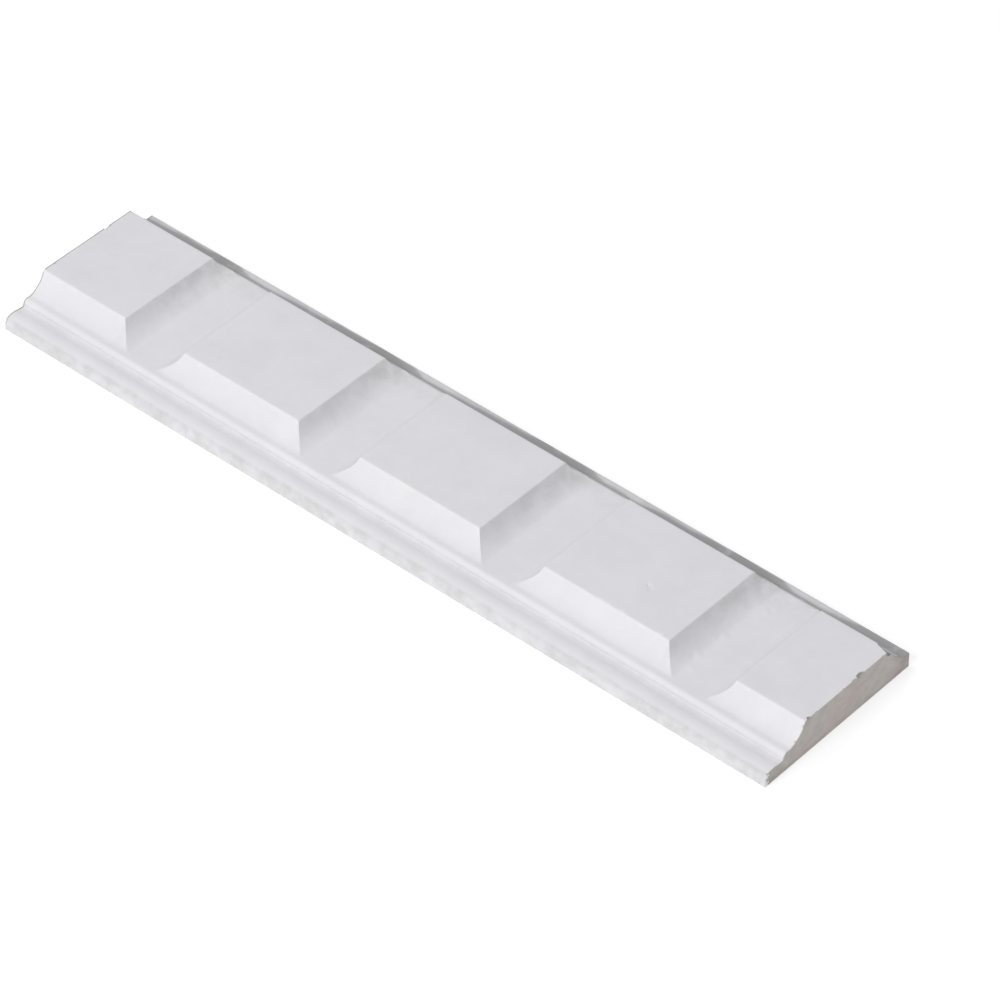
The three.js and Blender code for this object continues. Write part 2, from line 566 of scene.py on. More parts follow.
@dataclass
class SurfaceCells:
    """Divides the finished form into small cells, so that it can carry fine relief.

    Args:
        rail: The rail.
        sizes: Its sizes.
        cell: Side of a cell on the painted faces.
        end_cell: Height of a cell on the sawn ends.
        least_column: Least width of such a cell.
        arris: Softening of every sharp edge.
        sharp: From which turn an edge counts as sharp, in degrees.
        fine_stretch: How far from a sawn end the cells are halved.
    """

    rail: bpy.types.Object
    sizes: RailSizes
    cell: float = 0.66
    end_cell: float = 0.65
    least_column: float = 0.36
    arris: float = 0.16
    sharp: float = 50.0
    fine_stretch: float = 2.0

    def divide_across(self) -> None:
        """Divides the edges that cross the tablets and the channel floors."""
        s = self.sizes
        bench = Bench(self.rail)
        first, second = bench.edge_ends()
        along = np.abs(second[:, 1] - first[:, 1])
        across = np.maximum(np.abs(second[:, 0] - first[:, 0]), np.abs(second[:, 2] - first[:, 2]))
        low = np.minimum(first[:, 2], second[:, 2])
        tops = along > (s.tablet_back - s.tablet_front) / 2 * MM
        wanted = tops & (across < TOUCH) & (low > s.base_top * MM - TOUCH)
        bench.select("EDGE", wanted)
        bpy.ops.mesh.subdivide(number_cuts=len(self._columns()))
        bench.done()

    def _columns(self) -> list[float]:
        """Finds where the faces between the front foot and the step are divided.

        Returns:
            The places in Y, in millimetres.
        """
        s = self.sizes
        foot = s.tablet_front - s.cove_run - s.width / 2
        step = s.cove_stop - s.width / 2
        parts = round((step - foot) / self.cell)
        return [foot + (step - foot) * i / parts for i in range(1, parts)]

    def divide_ends(self, outline: list[tuple[float, float]]) -> None:
        """Cuts the base layer's sawn ends into columns that meet the points of the top.

        Args:
            outline: The section's points, from the nose.
        """
        s = self.sizes
        columns = [y + s.width / 2 for y in self._columns()]
        places = [0.0]
        for y in sorted(columns + [y for y, _ in outline]):
            if self.least_column < y - places[-1] and y < s.width - self.least_column:
                places.append(y)
        planes = [((0.0, (y - s.width / 2) * MM, 0.0), (0.0, 1.0, 0.0)) for y in places[1:]]
        for side in (-1, 1):
            self._slice(side, planes)

    def divide_along(self, stations: list[float]) -> None:
        """Divides the long faces along X, finer at the sawn ends.

        Args:
            stations: Where its stretches along X start and end, in millimetres.
        """
        s = self.sizes
        bench = Bench(self.rail)
        for before, after in zip(stations, stations[1:]):
            bench.split_along(before * MM, after * MM, round((after - before) / self.cell))
        half = s.length / 2 * MM
        inner = half - self.fine_stretch * MM
        bench.split_along(inner, half, 2)
        bench.split_along(-half, -inner, 2)
        rows = round(s.base_top / self.end_cell)
        planes = [((0.0, 0.0, s.base_top * row / rows * MM), (0.0, 0.0, 1.0))
                  for row in range(1, rows)]
        for side in (-1, 1):
            self._slice(side, planes)

    def _slice(self, side: int, planes: list[tuple[tuple[float, ...], tuple[float, ...]]]) -> None:
        """Cuts the faces of one sawn end by planes and leaves the rest as it is.

        Args:
            side: 1 for the right-hand end, -1 for the left.
            planes: A point and a direction for each cut.
        """
        bench = Bench(self.rail)
        centres = face_values(self.rail, "center")
        at_end = centres[:, 0] * side > self.sizes.length / 2 * MM - TOUCH
        bench.select("FACE", at_end & (centres[:, 2] < self.sizes.base_top * MM))
        bpy.ops.mesh.hide(unselected=True)
        for place, normal in planes:
            bpy.ops.mesh.select_all(action="SELECT")
            bpy.ops.mesh.bisect(plane_co=place, plane_no=normal, threshold=TOUCH)
        bpy.ops.mesh.reveal(select=False)
        bench.done()

    def soften_arrises(self) -> None:
        """Takes the sharpness off every edge of the rail."""
        bench = Bench(self.rail)
        bench.select("EDGE", np.zeros(len(self.rail.data.edges), bool))
        bpy.ops.mesh.edges_select_sharp(sharpness=math.radians(self.sharp))
        bpy.ops.mesh.bevel(offset=self.arris * MM, segments=2, profile=0.5, affect="EDGES",
                           clamp_overlap=True)
        bench.done()


@dataclass(frozen=True)
class Chip:
    """A place where the edge is broken out.

    Args:
        place: Centre of the break, in millimetres.
        reach: Its half sizes along X, Y and Z.
        turn: Its turn about Z, in degrees.
    """

    place: tuple[float, float, float]
    reach: tuple[float, float, float]
    turn: float = 0.0


@dataclass(frozen=True)
class Blemish:
    """A pit or a nib in the paint.

    Args:
        place: Where it is, in millimetres.
        spread: How far it reaches around that place.
        rise: How far it stands up, or sinks in where it is negative.
    """

    place: tuple[float, float, float]
    spread: float
    rise: float


@dataclass
class Wear:
    """Everything that cutting, painting and handling left on the rail.

    Args:
        rail: The rail.
        sizes: Its sizes.
        chips: The broken places.
        blemishes: The pits and nibs in the paint.
        ragged: How far the paint's edge at a cut may wander.
        bare_strip: Width of the bare strip that a saw leaves at a cut.
        nose_wrap: How far the paint runs round the nose onto the cut.
        wrap_wave: How far and how fast the edge of that paint wanders.
        core_relief: Depth of the sawn faces' roughness.
        paint_relief: Depth of the slow waves in the paint.
        lump_waves: How fine and how high the waves of a broken surface are.
        lump_shift: Moves those waves from chip to chip.
        still_below: Height under which no vertex moves, so that the wall face stays flat.
        facing: From which share of its normal a face counts as facing that way.
    """

    rail: bpy.types.Object
    sizes: RailSizes
    chips: tuple[Chip, ...] = (
        Chip((144.4, 24.6, 13.0), (6.5, 3.0, 2.4), -17.0),
        Chip((146.6, 9.8, 12.9), (1.6, 1.7, 0.9), 24.0),
        Chip((146.5, -12.9, 12.8), (1.1, 0.9, 0.8), 0.0),
        Chip((97.1, 23.9, 11.2), (0.6, 0.9, 1.9), 30.0),
        Chip((-146.4, 12.1, 12.9), (1.0, 1.4, 0.7), 0.0),
        Chip((-146.3, -15.2, 12.7), (0.8, 1.0, 0.8), 0.0),
        Chip((-146.2, -31.9, 3.6), (1.0, 0.8, 0.9), 0.0),
    )
    blemishes: tuple[Blemish, ...] = (
        Blemish((78.9, -1.2, 12.7), 0.9, -0.55),
        Blemish((80.2, -2.2, 12.7), 1.0, -0.3),
        Blemish((104.1, 2.0, 6.55), 1.7, 0.20),
        Blemish((103.2, 1.0, 6.6), 1.1, -0.16),
        Blemish((103.7, -8.5, 6.6), 1.9, 0.20),
        Blemish((102.6, -9.9, 6.8), 1.2, -0.14),
        Blemish((105.0, -14.3, 6.55), 1.8, 0.16),
        Blemish((104.0, 21.9, 6.55), 1.4, -0.16),
        Blemish((107.5, 18.5, 6.55), 1.7, -0.18),
        Blemish((106.6, 17.9, 6.55), 1.3, 0.12),
        Blemish((109.0, 24.7, 6.55), 1.6, -0.16),
        Blemish((72.6, -14.9, 12.4), 1.0, -0.38),
        Blemish((75.2, -15.0, 12.3), 1.3, -0.42),
        Blemish((80.2, -15.1, 12.3), 1.5, -0.45),
        Blemish((92.6, -14.9, 12.4), 0.9, -0.35),
        Blemish((94.0, -15.0, 12.3), 1.2, -0.4),
        Blemish((83.4, 13.6, 12.7), 1.4, -0.1),
        Blemish((-78.9, -8.0, 12.7), 1.4, -0.1),
        Blemish((-26.5, -13.9, 12.7), 1.4, -0.12),
        Blemish((-20.5, -18.4, 8.2), 1.2, -0.16),
        Blemish((-124.4, 20.8, 12.7), 1.3, -0.14),
        Blemish((30.9, 25.4, 6.55), 1.5, -0.18),
        Blemish((-37.0, 25.6, 6.55), 1.5, -0.16),
        Blemish((-106.0, 24.9, 6.55), 1.2, -0.14),
    )
    ragged: float = 0.6
    bare_strip: float = 0.18
    nose_wrap: float = 1.3
    wrap_wave: tuple[float, float] = (0.5, 2.3)
    core_relief: float = 0.18
    paint_relief: float = 0.07
    lump_waves: tuple[tuple[float, float], ...] = ((1.4, 0.34), (4.1, 0.13))
    lump_shift: float = 3.7
    still_below: float = 0.4
    facing: float = 0.9

    def press(self) -> None:
        """Presses the pits into the paint and pulls the nibs out of it."""
        places = vertex_places(self.rail)
        bench = Bench(self.rail)
        for blemish in self.blemishes:
            distances = np.linalg.norm(places - np.array(blemish.place) * MM, axis=1)
            bench.select("VERT", distances == distances.min())
            bpy.ops.transform.translate(
                value=(0.0, 0.0, blemish.rise * MM), use_proportional_edit=True,
                proportional_edit_falloff="SMOOTH", proportional_size=blemish.spread * MM)
            bench.done()

    def break_out(self) -> None:
        """Breaks the chips out of the edges with rough lumps."""
        lumps = [self._lump(chip, number) for number, chip in enumerate(self.chips)]
        make_active(lumps[0])
        for lump in lumps:
            lump.select_set(True)
        bpy.ops.object.join()
        cutter = bpy.context.object
        for material in self.rail.data.materials:
            cutter.data.materials.append(material)
        cutter.data.polygons.foreach_set(
            "material_index", np.full(len(cutter.data.polygons), Finish.CHIPPED_CORE.value))
        make_active(self.rail)
        cut = self.rail.modifiers.new("chips", "BOOLEAN")
        cut.operation, cut.solver, cut.object = "DIFFERENCE", "EXACT", cutter
        bpy.ops.object.modifier_apply(modifier=cut.name)
        bpy.data.objects.remove(cutter)

    def _lump(self, chip: Chip, number: int) -> bpy.types.Object:
        """Makes the rough lump that breaks one chip out.

        Args:
            chip: The chip.
            number: Its number, which keeps the lumps from being alike.

        Returns:
            The lump, in its place.
        """
        deselect_everything()
        bpy.ops.mesh.primitive_ico_sphere_add(subdivisions=4, radius=1.0)
        lump = bpy.context.object
        for vertex in lump.data.vertices:
            place = vertex.co + Vector((number * self.lump_shift, 0.0, 0.0))
            vertex.co *= 1.0 + sum(noise.noise(place * fine) * high
                                   for fine, high in self.lump_waves)
        lump.scale = [value * MM for value in chip.reach]
        lump.rotation_euler = (0.0, 0.0, math.radians(chip.turn))
        lump.location = [value * MM for value in chip.place]
        bpy.ops.object.transform_apply(location=True, rotation=True, scale=True)
        return lump

    def roughen(self) -> None:
        """Roughens the sawn and broken faces, and gives the paint its slow waves."""
        mesh = self.rail.data
        indices = np.empty(len(mesh.polygons), int)
        mesh.polygons.foreach_get("material_index", indices)
        raw = np.isin(indices, [Finish.SAWN_CORE.value, Finish.CHIPPED_CORE.value])
        raw_corners = {v for face in np.flatnonzero(raw) for v in mesh.polygons[face].vertices}
        for name, corners in (("core", raw_corners), ("paint", range(len(mesh.vertices)))):
            free = [v for v in corners if mesh.vertices[v].co.z > self.still_below * MM]
            self.rail.vertex_groups.new(name=name).add(free, 1.0, "ADD")
        self._displace("sawn", "core", 1.3 * MM, self.core_relief * MM, 3)
        self._displace("waves", "paint", 11.0 * MM, self.paint_relief * MM, 1)
        self._displace("brush", "paint", 2.6 * MM, self.paint_relief / 5 * MM, 2)

    def _displace(self, name: str, group: str, scale: float, depth: float, detail: int) -> None:
        """Sinks the surface inwards by a cloudy pattern.

        Args:
            name: Name of the pattern.
            group: The vertices that move.
            scale: Size of the pattern.
            depth: Greatest depth.
            detail: How many finer layers the pattern has.
        """
        clouds = bpy.data.textures.new(name, "CLOUDS")
        clouds.noise_scale, clouds.noise_depth = scale, detail
        relief = self.rail.modifiers.new(name, "DISPLACE")
        relief.texture, relief.texture_coords = clouds, "LOCAL"
        relief.direction, relief.vertex_group = "NORMAL", group
        relief.mid_level, relief.strength = 1.0, depth
        make_active(self.rail)
        bpy.ops.object.modifier_apply(modifier=relief.name)

    def share_out(self) -> None:
        """Gives every face its finish, with a ragged edge of the paint at each cut."""
        half = self.sizes.length / 2 * MM
        centres = face_values(self.rail, "center")
        normals = face_values(self.rail, "normal")
        inside = half - np.abs(centres[:, 0])
        finish = np.full(len(centres), Finish.PAINTED_FACE.value)
        finish[normals[:, 2] < -self.facing] = Finish.WALL_FACE.value
        visible = normals[:, 2] > -self.facing
        for face in np.flatnonzero((inside < self.ragged * 2 * MM) & visible):
            x, y, z = centres[face] / MM
            slow = noise.noise(Vector((y * 0.55, z * 0.55, x)))
            wander = slow + 0.35 * noise.noise(Vector((y * 2.1, z * 2.1, x * 0.3)))
            if inside[face] < (self.bare_strip + max(0.0, wander) * self.ragged) * MM:
                finish[face] = Finish.SAWN_CORE.value
        at_cut = inside < TOUCH * 10
        finish[(np.abs(normals[:, 0]) > 0.8) & at_cut] = Finish.SAWN_CORE.value
        from_nose = centres[:, 1] + self.sizes.width / 2 * MM
        far, fast = self.wrap_wave
        wrap = (self.nose_wrap + far * np.sin(centres[:, 2] / MM * fast)) * MM
        wrapped = (inside < self.ragged * MM) & (from_nose < wrap) & visible
        finish[wrapped] = Finish.PAINTED_FACE.value
        self.rail.data.polygons.foreach_set("material_index", finish)


@dataclass
class SoilingAndShade:
    """Where dust settles, edges are rubbed and shade is painted, as values on the vertices.

    Args:
        rail: The rail.
        sizes: Its sizes.
        corner: Where a channel's dust and painted shade start and are full, from -1 at its left to
            1.
        groove: Middle and spread of the painted shade line in the groove, from the nose.
        groove_top: Height up to which that line reaches.
        nose_edge: Where the darkening on the nose ends and is full, from the nose.
        end_patches: The same for the sawn ends' darkening at the nose and at the back.
        end_foot: The same for their darkening towards the wall face, as heights.
        rubbed_edge: How far the tablets' edges are rubbed.
        rubbed_cut: How far the paint is rubbed at a cut.
        painted_shade_edge: Where the painted shadow on the ledge ends between the tablets, from the
            nose.
        painted_shade_behind: How much further it reaches behind a tablet, where that tablet's
            shadow falls.
        painted_shade_wander: How far and how fast its edge wanders.
        painted_shade_blur: How softly it ends.
        least_painted_shade: What is left of it past its edge.
        painted_shade_strength: Its strength between the tablets, and what a tablet's shadow adds to
            it.
    """

    rail: bpy.types.Object
    sizes: RailSizes
    corner: tuple[float, float] = (-0.25, -1.0)
    groove: tuple[float, float] = (7.2, 1.3)
    groove_top: float = 5.6
    nose_edge: tuple[float, float] = (1.6, 0.8)
    end_patches: tuple[tuple[float, float], ...] = ((9.0, 0.0), (56.0, 61.0))
    end_foot: tuple[float, float] = (1.8, 0.0)
    rubbed_edge: float = 0.7
    rubbed_cut: float = 1.2
    painted_shade_edge: float = 62.1
    painted_shade_behind: float = 1.9
    painted_shade_wander: tuple[float, float] = (0.7, 0.11)
    painted_shade_blur: float = 1.2
    least_painted_shade: float = 0.28
    painted_shade_strength: tuple[float, float] = (0.78, 0.17)

    def __post_init__(self) -> None:
        """Reads where the rail's vertices are, in millimetres."""
        s = self.sizes
        self.x, self.y, self.z = (vertex_places(self.rail) / MM).T
        self.from_nose = self.y + s.width / 2
        self.at_end = np.abs(self.x) > s.length / 2 - 0.3
        self.nose = ramp(self.from_nose, *self.nose_edge)
        self.front = s.tablet_front - s.width / 2
        self.back = s.tablet_back - s.width / 2

    def dust_and_shade(self) -> np.ndarray:
        """Lays dust with painted shade in the channels, painted shade in the groove, and darkening
        on the nose and at the sawn ends' edges.

        Returns:
            Its amount at each vertex, from 0 to 1.
        """
        s, x, y, z = self.sizes, self.x, self.y, self.z
        darkening = np.zeros(len(x))
        # Dust in each channel, heaviest at its left wall and towards its back, partly painted shade
        # there.
        for index in range(s.channels):
            across = (x - s.channel_middle(index)) / (s.channel_top / 2)
            inside = (np.abs(across) < 1.0) & (y > self.front - s.cove_run)
            inside &= z < s.thickness - 0.3
            deeper = 0.25 + 0.75 * ramp(y, self.front, self.back)
            darkening += inside * deeper * ramp(across, *self.corner)
            darkening += inside * ramp(y, self.back - 5.0, self.back + 3.0) * 0.4
        # Painted shade along the groove.
        middle, spread = self.groove
        darkening += mound(self.from_nose - middle, spread) * (z < self.groove_top) * 0.3
        painted = darkening * (z > s.ledge - 1.5) + self.nose
        sawn = ramp(z, *self.end_foot)
        sawn += sum(ramp(self.from_nose, *patch) for patch in self.end_patches)
        amount = np.where(self.at_end, sawn * 0.8, painted)
        return np.clip(amount, 0.0, 1.0) * (z > 0.1)

    def rubbing(self) -> np.ndarray:
        """Rubs the tablets' top edges and the paint at the cuts.

        Returns:
            Its amount at each vertex, from 0 to 1.
        """
        s = self.sizes
        rubbed = mound(s.length / 2 - np.abs(self.x), self.rubbed_cut)
        outside_y = np.maximum(self.front - self.y, self.y - self.back)
        for left, right in s.tablet_tops():
            outside_x = np.maximum(left - self.x, self.x - right)
            distance = np.maximum(outside_x, outside_y)
            rubbed += mound(distance, self.rubbed_edge) * (self.z > s.thickness - 1.2)
        return np.clip(rubbed, 0.0, 1.0)

    def painted_shade(self) -> np.ndarray:
        """Paints the tablets' shadow on the ledge and painted shade under their back coves.

        Returns:
            Its amount at each vertex, from 0 to 1.
        """
        s, x, z = self.sizes, self.x, self.z
        behind = np.zeros(len(x))
        shade = np.zeros(len(x))
        # shade: where a tablet's painted shadow falls on the ledge, reaching past its right side.
        for left, right in s.tablet_tops():
            behind += (x > left - 0.2) & (x < right + 0.2)
            falling = ramp(x, right + 9.0, right + 3.0)
            shade = np.maximum(shade, ramp(x, left - 4.0, left + 30.0) * falling)
        far, fast = self.painted_shade_wander
        wander = np.array([noise.noise(Vector((value * fast, 0.0, 4.0))) for value in x])
        edge = self.painted_shade_edge + shade * self.painted_shade_behind + ramp(x, 118.0, 130.0) + wander * far
        # Painted shadow on the ledge: full up to its edge, with a little left beyond it.
        painted_shade = np.maximum(ramp(self.from_nose - edge, 0.0, -self.painted_shade_blur), self.least_painted_shade)
        painted_shade *= ramp(self.from_nose, s.cove_stop + 0.1, s.cove_stop + 0.6)
        painted_shade *= ramp(z, s.ledge - 1.2, s.ledge - 0.5)
        between, more = self.painted_shade_strength
        # Adds a faint darkening along the nose.
        painted_shade = np.maximum(painted_shade * (between + more * shade), self.nose * 0.16)
        # Painted shade under the tablets' back coves.
        under = ramp(self.from_nose, s.tablet_back + 1.2, s.tablet_back + 4.2)
        under = np.minimum(under, 0.5) * behind * (z > s.base_top + 0.1)
        return np.maximum(painted_shade * ~self.at_end, under)

    def write(self) -> None:
        """Writes the three amounts on the rail, for its materials to read."""
        for name, amount in (("dust_and_shade", self.dust_and_shade()), ("rub", self.rubbing()),
                             ("painted_shade", self.painted_shade())):
            layer = self.rail.data.attributes.new(name, "FLOAT", "POINT")
            layer.data.foreach_set("value", amount.astype(np.float32))


class Recipe:
    """The nodes of one material or world, added and linked as the finish is worked out."""

    def __init__(self, name: str) -> None:
        """Starts an empty material.

        Args:
            name: The material's name.
        """
        self.material = bpy.data.materials.new(name)
        self.material.use_nodes = True
        self.tree = self.material.node_tree
        self.tree.nodes.clear()
        self.shader = self.add("ShaderNodeBsdfPrincipled")
        self.output = self.add("ShaderNodeOutputMaterial")
        self.join(self.shader.outputs["BSDF"], self.output.inputs["Surface"])
        self.place = self.add("ShaderNodeTexCoord").outputs["Object"]

    def add(self, kind: str, **settings: object) -> bpy.types.Node:
        """Adds a node.

        Args:
            kind: The node's type.
            **settings: Its properties.

        Returns:
            The node.
        """
        node = self.tree.nodes.new(kind)
        for name, value in settings.items():
            setattr(node, name, value)
        return node

    def join(self, source: bpy.types.NodeSocket, target: bpy.types.NodeSocket) -> None:
        """Links two sockets."""
        self.tree.links.new(source, target)

    def cloud(self, scale: float, detail: float = 3.0, rough: float = 0.55,
              stretch: tuple[float, float, float] = (1.0, 1.0, 1.0),
              shift: float = 0.0) -> bpy.types.NodeSocket:
        """Adds a cloudy pattern.

        Args:
            scale: How many of its waves there are in a metre.
            detail: How many finer layers it has.
            rough: How strong those layers are.
            stretch: Its scale along X, Y and Z.
            shift: Moves the pattern, so that two of them don't agree.

        Returns:
            Its value, from 0 to 1.
        """
        mapping = self.add("ShaderNodeMapping")
        mapping.inputs["Scale"].default_value = stretch
        mapping.inputs["Location"].default_value = (shift, shift * 0.7, shift * 0.4)
        self.join(self.place, mapping.inputs["Vector"])
        pattern = self.add("ShaderNodeTexNoise")
        pattern.inputs["Scale"].default_value = scale
        pattern.inputs["Detail"].default_value = detail
        pattern.inputs["Roughness"].default_value = rough
        self.join(mapping.outputs["Vector"], pattern.inputs["Vector"])
        return pattern.outputs["Fac"]

    def between(self, value: bpy.types.NodeSocket, low: float, high: float,
                start: float = 0.0, end: float = 1.0) -> bpy.types.NodeSocket:
        """Stretches a range of a value to another, and holds it inside.

        Args:
            value: The value.
            low: Where the range starts.
            high: Where it ends.
            start: What its start becomes.
            end: What its end becomes.

        Returns:
            The new value.
        """
        ranged = self.add("ShaderNodeMapRange", interpolation_type="SMOOTHSTEP")
        limits = {"From Min": low, "From Max": high, "To Min": start, "To Max": end}
        for name, number in limits.items():
            ranged.inputs[name].default_value = number
        self.join(value, ranged.inputs["Value"])
        return ranged.outputs["Result"]

    def times(self, first: bpy.types.NodeSocket,
              second: bpy.types.NodeSocket | float) -> bpy.types.NodeSocket:
        """Multiplies two values.

        Args:
            first: A value.
            second: A value or a number.

        Returns:
            Their product.
        """
        product = self.add("ShaderNodeMath", operation="MULTIPLY")
        self.join(first, product.inputs[0])
        if isinstance(second, float):
            product.inputs[1].default_value = second
        else:
            self.join(second, product.inputs[1])
        return product.outputs["Value"]

    def mark(self, name: str) -> bpy.types.NodeSocket:
        """Reads a value that the rail's vertices carry."""
        return self.add("ShaderNodeAttribute", attribute_name=name).outputs["Fac"]

    def blend(self, amount: bpy.types.NodeSocket,
              first: bpy.types.NodeSocket | tuple[float, float, float],
              second: bpy.types.NodeSocket | tuple[float, float, float]) -> bpy.types.NodeSocket:
        """Mixes two colours.

        Args:
            amount: How much of the second.
            first: A colour or a socket.
            second: A colour or a socket.

        Returns:
            The mixed colour.
        """
        mixed = self.add("ShaderNodeMix", data_type="RGBA")
        self.join(amount, mixed.inputs[0])
        for socket, colour in ((mixed.inputs[6], first), (mixed.inputs[7], second)):
            if isinstance(colour, tuple):
                socket.default_value = (*colour, 1.0)
            else:
                self.join(colour, socket)
        return mixed.outputs[2]

    def colour(self, value: bpy.types.NodeSocket) -> None:
        """Sets the surface's colour."""
        self.join(value, self.shader.inputs["Base Color"])

    def roughness(self, value: bpy.types.NodeSocket) -> None:
        """Sets the surface's roughness."""
        self.join(value, self.shader.inputs["Roughness"])

    def relief(self, layers: list[tuple[bpy.types.NodeSocket, float]]) -> None:
        """Lays fine relief on the surface, one layer over the other.

        Args:
            layers: For each its height pattern, and its depth in millimetres.
        """
        normal = None
        for height, depth in layers:
            bump = self.add("ShaderNodeBump")
            bump.inputs["Distance"].default_value = depth * MM
            self.join(height, bump.inputs["Height"])
            if normal is not None:
                self.join(normal, bump.inputs["Normal"])
            normal = bump.outputs["Normal"]
        self.join(normal, self.shader.inputs["Normal"])


@dataclass(frozen=True)
class SatinPaint:
    """The rail's white primer paint, with its faint mottle, dust, painted shade and shadow, and
    rubbed edges.

    Args:
        light: Its lighter colour.
        shade: Its darker colour.
        dust_and_shade: Colour of the settled dust and of the painted shade in the groove and the
            channels.
        painted_shade: Colour of the painted shadow on the ledge and the painted shade under the
            back coves.
        rubbed: Colour where an edge is rubbed.
        gloss: Strength of its shine.
    """

    light: tuple[float, float, float] = (0.80, 0.795, 0.83)
    shade: tuple[float, float, float] = (0.745, 0.742, 0.775)
    dust_and_shade: tuple[float, float, float] = (0.50, 0.505, 0.47)
    painted_shade: tuple[float, float, float] = (0.345, 0.345, 0.342)
    rubbed: tuple[float, float, float] = (0.83, 0.82, 0.80)
    gloss: float = 0.35

    def make(self) -> bpy.types.Material:
        """Works the finish out.

        Returns:
            The material.
        """
        r = Recipe("satin_white_paint")
        mottle = r.between(r.cloud(75.0, 4.0, 0.6), 0.3, 0.72)
        fine = r.between(r.cloud(520.0, 3.0, 0.7, shift=3.0), 0.35, 0.7)
        base = r.blend(r.times(mottle, 0.6), self.light, self.shade)
        base = r.blend(r.times(fine, 0.12), base, self.shade)
        # Dust, with painted shade in the groove and the channels.
        drifts = r.between(r.cloud(190.0, 5.0, 0.65, shift=1.7), 0.34, 0.66)
        darkening = r.times(r.mark("dust_and_shade"), drifts)
        base = r.blend(r.times(darkening, 0.42), base, self.dust_and_shade)
        scuffs = r.between(r.cloud(260.0, 4.0, 0.7, shift=5.1), 0.42, 0.62)
        rub = r.times(r.mark("rub"), scuffs)
        base = r.blend(r.times(rub, 0.45), base, self.rubbed)
        # Painted shadow on the ledge and painted shade under the back coves, in patches.
        patches = r.between(r.cloud(150.0, 4.0, 0.6, shift=6.4), 0.22, 0.42, 0.55, 0.92)
        base = r.blend(r.times(r.mark("painted_shade"), patches), base, self.painted_shade)
        r.colour(base)
        r.roughness(r.between(r.cloud(340.0, 3.0, 0.6, shift=2.2), 0.25, 0.75, 0.44, 0.62))
        r.shader.inputs["Specular IOR Level"].default_value = self.gloss
        r.relief([
            (r.cloud(1500.0, 2.0, 0.5), 0.018),
            (r.cloud(900.0, 2.0, 0.5, stretch=(0.08, 1.0, 1.0), shift=0.9), 0.012),
            (darkening, 0.03),
        ])
        return r.material


@dataclass(frozen=True)
class BareCore:
    """The core where it is sawn, broken or left bare.

    Args:
        name: The material's name.
        light: Its lighter colour.
        dark: Its darker colour.
        warm: Colour of its warmer patches.
        speck: Colour of its specks, and of the darkening at the edges of the sawn ends.
        layered: How far its pattern is drawn out along the rail's width.
        depth: Depth of its fine relief, in millimetres.
    """

    name: str
    light: tuple[float, float, float] = (0.525, 0.495, 0.468)
    dark: tuple[float, float, float] = (0.465, 0.437, 0.412)
    warm: tuple[float, float, float] = (0.515, 0.43, 0.42)
    speck: tuple[float, float, float] = (0.16, 0.145, 0.13)
    layered: tuple[float, float, float] = (1.0, 0.7, 1.0)
    depth: float = 0.06

    def make(self) -> bpy.types.Material:
        """Works the finish out.

        Returns:
            The material.
        """
        r = Recipe(self.name)
        layers = r.between(r.cloud(420.0, 4.0, 0.6, stretch=self.layered), 0.3, 0.7)
        base = r.blend(layers, self.light, self.dark)
        warm = r.between(r.cloud(95.0, 2.0, 0.5, shift=4.3), 0.46, 0.62)
        base = r.blend(r.times(warm, 0.55), base, self.warm)
        specks = r.between(r.cloud(1300.0, 2.0, 0.5, shift=8.8), 0.66, 0.74)
        base = r.blend(r.times(specks, 0.35), base, self.speck)
        # Darker towards the edges of the sawn ends.
        drifts = r.between(r.cloud(230.0, 3.0, 0.6, shift=7.7), 0.3, 0.6)
        darkening = r.times(r.mark("dust_and_shade"), drifts)
        base = r.blend(r.times(darkening, 0.35), base, self.speck)
        r.colour(base)
        r.roughness(r.between(layers, 0.0, 1.0, 0.82, 0.95))
        r.shader.inputs["Specular IOR Level"].default_value = 0.2
        r.relief([(r.cloud(700.0, 5.0, 0.7, stretch=self.layered), self.depth),
                  (r.cloud(2600.0, 2.0, 0.6, shift=2.9), self.depth / 3)])
        return r.material


